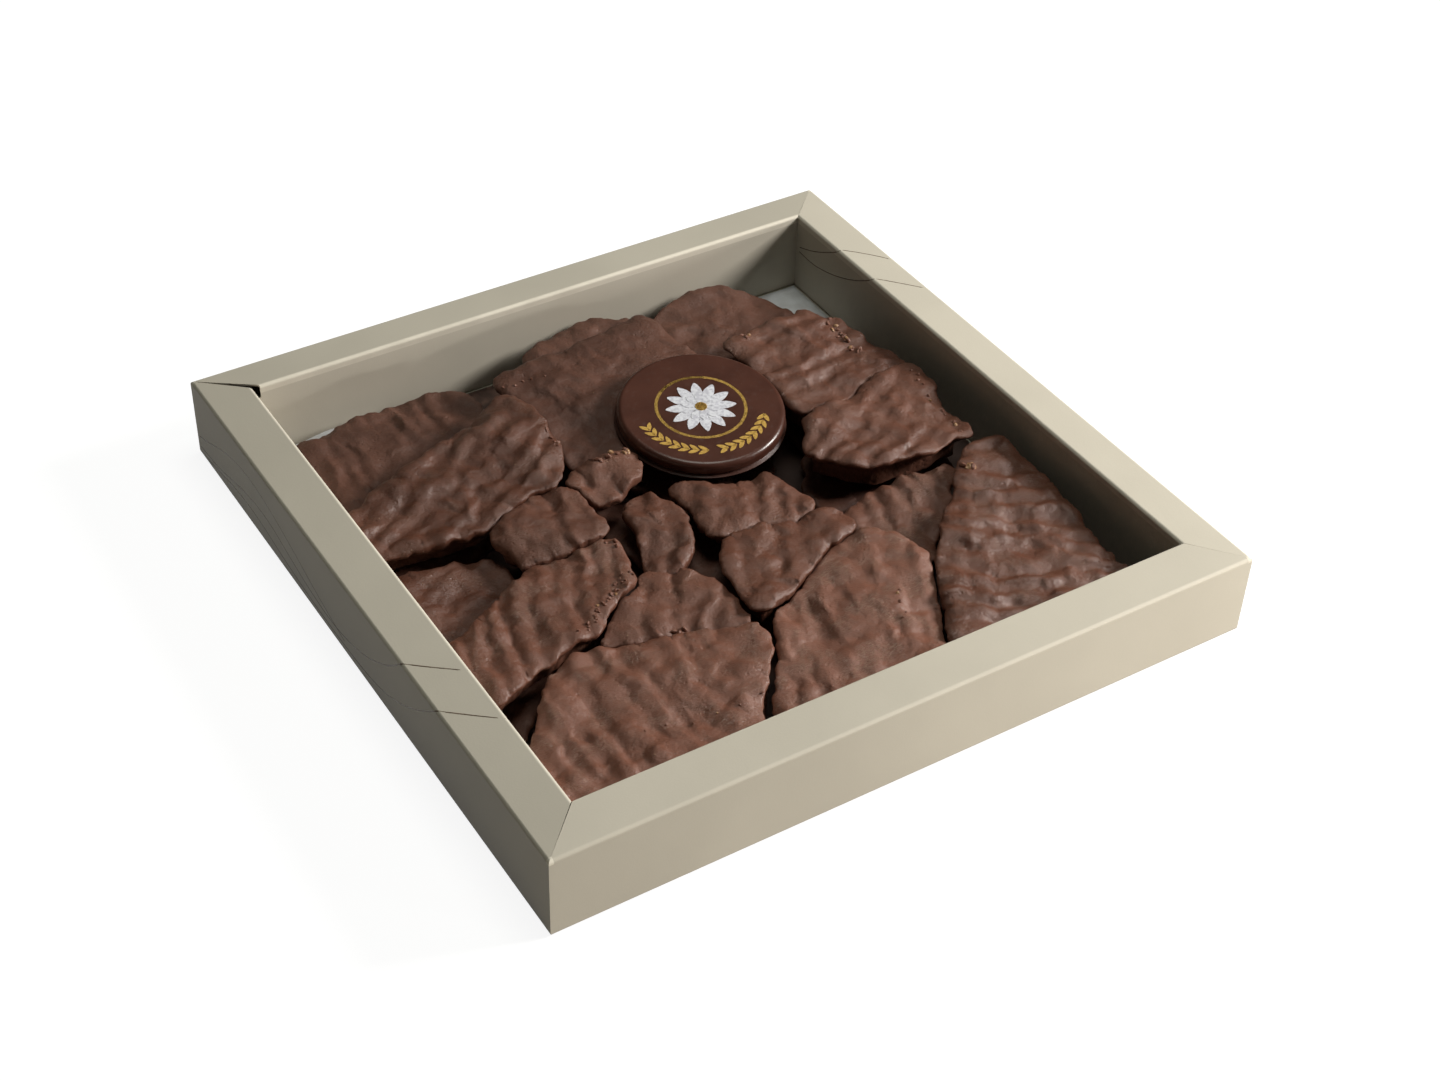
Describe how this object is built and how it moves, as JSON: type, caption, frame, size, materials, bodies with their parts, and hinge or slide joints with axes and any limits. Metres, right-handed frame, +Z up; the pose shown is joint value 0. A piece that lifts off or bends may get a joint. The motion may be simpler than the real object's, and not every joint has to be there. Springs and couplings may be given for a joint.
{
  "type": "open chocolate box",
  "caption": "Flat square folded-board carton, open at the top, holding two layers of broken rippled chocolate bark on a paper sheet, with a round moulded chocolate medallion leaning on top",
  "frame": {"origin": "centre of the carton's underside, on the surface it stands on", "axes": "+Z up; -Y is the front wall, +Y the back wall, -X the left wall and +X the right wall, each square to its axis"},
  "size_m": [0.2, 0.2, 0.0252],
  "materials": {
    "board": "satin pearlescent champagne board",
    "paper": "thin white translucent paper",
    "chocolate": "satin milk and dark chocolate",
    "medallion_chocolate": "smooth moulded chocolate"
  },
  "bodies": {
    "carton": {"base_panel": "board", "wall_front": "board", "wall_right": "board", "wall_back": "board", "wall_left": "board"},
    "liner_sheet": {"liner_sheet": "paper"},
    "bark_back_left": {"bark_back_left": "chocolate"},
    "bark_left_rear": {"bark_left_rear": "chocolate"},
    "bark_back_mound": {"bark_back_mound": "chocolate"},
    "bark_back_slab": {"bark_back_slab": "chocolate"},
    "bark_back_right": {"bark_back_right": "chocolate"},
    "bark_right_rear": {"bark_right_rear": "chocolate"},
    "bark_right_middle": {"bark_right_middle": "chocolate"},
    "bark_right_wedge": {"bark_right_wedge": "chocolate"},
    "bark_centre": {"bark_centre": "chocolate"},
    "bark_centre_front": {"bark_centre_front": "chocolate"},
    "bark_left_middle": {"bark_left_middle": "chocolate"},
    "bark_left_front": {"bark_left_front": "chocolate"},
    "bark_left_knob": {"bark_left_knob": "chocolate"},
    "bark_small_chunk": {"bark_small_chunk": "chocolate"},
    "bark_sliver": {"bark_sliver": "chocolate"},
    "bark_front_left": {"bark_front_left": "chocolate"},
    "bark_front_left_rear": {"bark_front_left_rear": "chocolate"},
    "bark_front_centre": {"bark_front_centre": "chocolate"},
    "bark_front_right": {"bark_front_right": "chocolate"},
    "under_bark_left_rear": {"under_bark_left_rear": "chocolate"},
    "under_bark_back": {"under_bark_back": "chocolate"},
    "under_bark_right": {"under_bark_right": "chocolate"},
    "under_bark_centre": {"under_bark_centre": "chocolate"},
    "under_bark_left_front": {"under_bark_left_front": "chocolate"},
    "under_bark_front_left": {"under_bark_front_left": "chocolate"},
    "under_bark_front_centre": {"under_bark_front_centre": "chocolate"},
    "under_bark_front_right": {"under_bark_front_right": "chocolate"},
    "medallion": {"medallion": "medallion_chocolate"}
  },
  "joints": [
    {"name": "lift_liner_sheet", "type": "slide", "parent": "carton", "child": "liner_sheet", "axis": [0, 0, 1], "range_m": [0, 0.06]},
    {"name": "lift_under_bark_left_rear", "type": "slide", "parent": "liner_sheet", "child": "under_bark_left_rear", "axis": [0, 0, 1], "range_m": [0, 0.06]},
    {"name": "lift_under_bark_back", "type": "slide", "parent": "liner_sheet", "child": "under_bark_back", "axis": [0, 0, 1], "range_m": [0, 0.06]},
    {"name": "lift_under_bark_right", "type": "slide", "parent": "liner_sheet", "child": "under_bark_right", "axis": [0, 0, 1], "range_m": [0, 0.06]},
    {"name": "lift_under_bark_centre", "type": "slide", "parent": "liner_sheet", "child": "under_bark_centre", "axis": [0, 0, 1], "range_m": [0, 0.06]},
    {"name": "lift_under_bark_left_front", "type": "slide", "parent": "liner_sheet", "child": "under_bark_left_front", "axis": [0, 0, 1], "range_m": [0, 0.06]},
    {"name": "lift_under_bark_front_left", "type": "slide", "parent": "liner_sheet", "child": "under_bark_front_left", "axis": [0, 0, 1], "range_m": [0, 0.06]},
    {"name": "lift_under_bark_front_centre", "type": "slide", "parent": "liner_sheet", "child": "under_bark_front_centre", "axis": [0, 0, 1], "range_m": [0, 0.06]},
    {"name": "lift_under_bark_front_right", "type": "slide", "parent": "liner_sheet", "child": "under_bark_front_right", "axis": [0, 0, 1], "range_m": [0, 0.06]},
    {"name": "lift_bark_back_left", "type": "slide", "parent": "liner_sheet", "child": "bark_back_left", "axis": [0, 0, 1], "range_m": [0, 0.06]},
    {"name": "lift_bark_left_rear", "type": "slide", "parent": "under_bark_left_rear", "child": "bark_left_rear", "axis": [0, 0, 1], "range_m": [0, 0.06]},
    {"name": "lift_bark_back_mound", "type": "slide", "parent": "under_bark_back", "child": "bark_back_mound", "axis": [0, 0, 1], "range_m": [0, 0.06]},
    {"name": "lift_bark_back_slab", "type": "slide", "parent": "under_bark_back", "child": "bark_back_slab", "axis": [0, 0, 1], "range_m": [0, 0.06]},
    {"name": "lift_bark_back_right", "type": "slide", "parent": "liner_sheet", "child": "bark_back_right", "axis": [0, 0, 1], "range_m": [0, 0.06]},
    {"name": "lift_bark_right_rear", "type": "slide", "parent": "under_bark_right", "child": "bark_right_rear", "axis": [0, 0, 1], "range_m": [0, 0.06]},
    {"name": "lift_bark_right_middle", "type": "slide", "parent": "under_bark_right", "child": "bark_right_middle", "axis": [0, 0, 1], "range_m": [0, 0.06]},
    {"name": "lift_bark_right_wedge", "type": "slide", "parent": "liner_sheet", "child": "bark_right_wedge", "axis": [0, 0, 1], "range_m": [0, 0.06]},
    {"name": "lift_bark_centre", "type": "slide", "parent": "under_bark_centre", "child": "bark_centre", "axis": [0, 0, 1], "range_m": [0, 0.06]},
    {"name": "lift_bark_centre_front", "type": "slide", "parent": "under_bark_centre", "child": "bark_centre_front", "axis": [0, 0, 1], "range_m": [0, 0.06]},
    {"name": "lift_bark_left_middle", "type": "slide", "parent": "liner_sheet", "child": "bark_left_middle", "axis": [0, 0, 1], "range_m": [0, 0.06]},
    {"name": "lift_bark_left_front", "type": "slide", "parent": "under_bark_left_front", "child": "bark_left_front", "axis": [0, 0, 1], "range_m": [0, 0.06]},
    {"name": "lift_bark_left_knob", "type": "slide", "parent": "under_bark_left_front", "child": "bark_left_knob", "axis": [0, 0, 1], "range_m": [0, 0.06]},
    {"name": "lift_bark_small_chunk", "type": "slide", "parent": "under_bark_centre", "child": "bark_small_chunk", "axis": [0, 0, 1], "range_m": [0, 0.06]},
    {"name": "lift_bark_sliver", "type": "slide", "parent": "under_bark_centre", "child": "bark_sliver", "axis": [0, 0, 1], "range_m": [0, 0.06]},
    {"name": "lift_bark_front_left", "type": "slide", "parent": "under_bark_front_left", "child": "bark_front_left", "axis": [0, 0, 1], "range_m": [0, 0.06]},
    {"name": "lift_bark_front_left_rear", "type": "slide", "parent": "under_bark_front_left", "child": "bark_front_left_rear", "axis": [0, 0, 1], "range_m": [0, 0.06]},
    {"name": "lift_bark_front_centre", "type": "slide", "parent": "under_bark_front_centre", "child": "bark_front_centre", "axis": [0, 0, 1], "range_m": [0, 0.06]},
    {"name": "lift_bark_front_right", "type": "slide", "parent": "under_bark_front_right", "child": "bark_front_right", "axis": [0, 0, 1], "range_m": [0, 0.06]},
    {"name": "lift_medallion", "type": "slide", "parent": "bark_back_slab", "child": "medallion", "axis": [0, 0, 1], "range_m": [0, 0.06]}
  ]
}
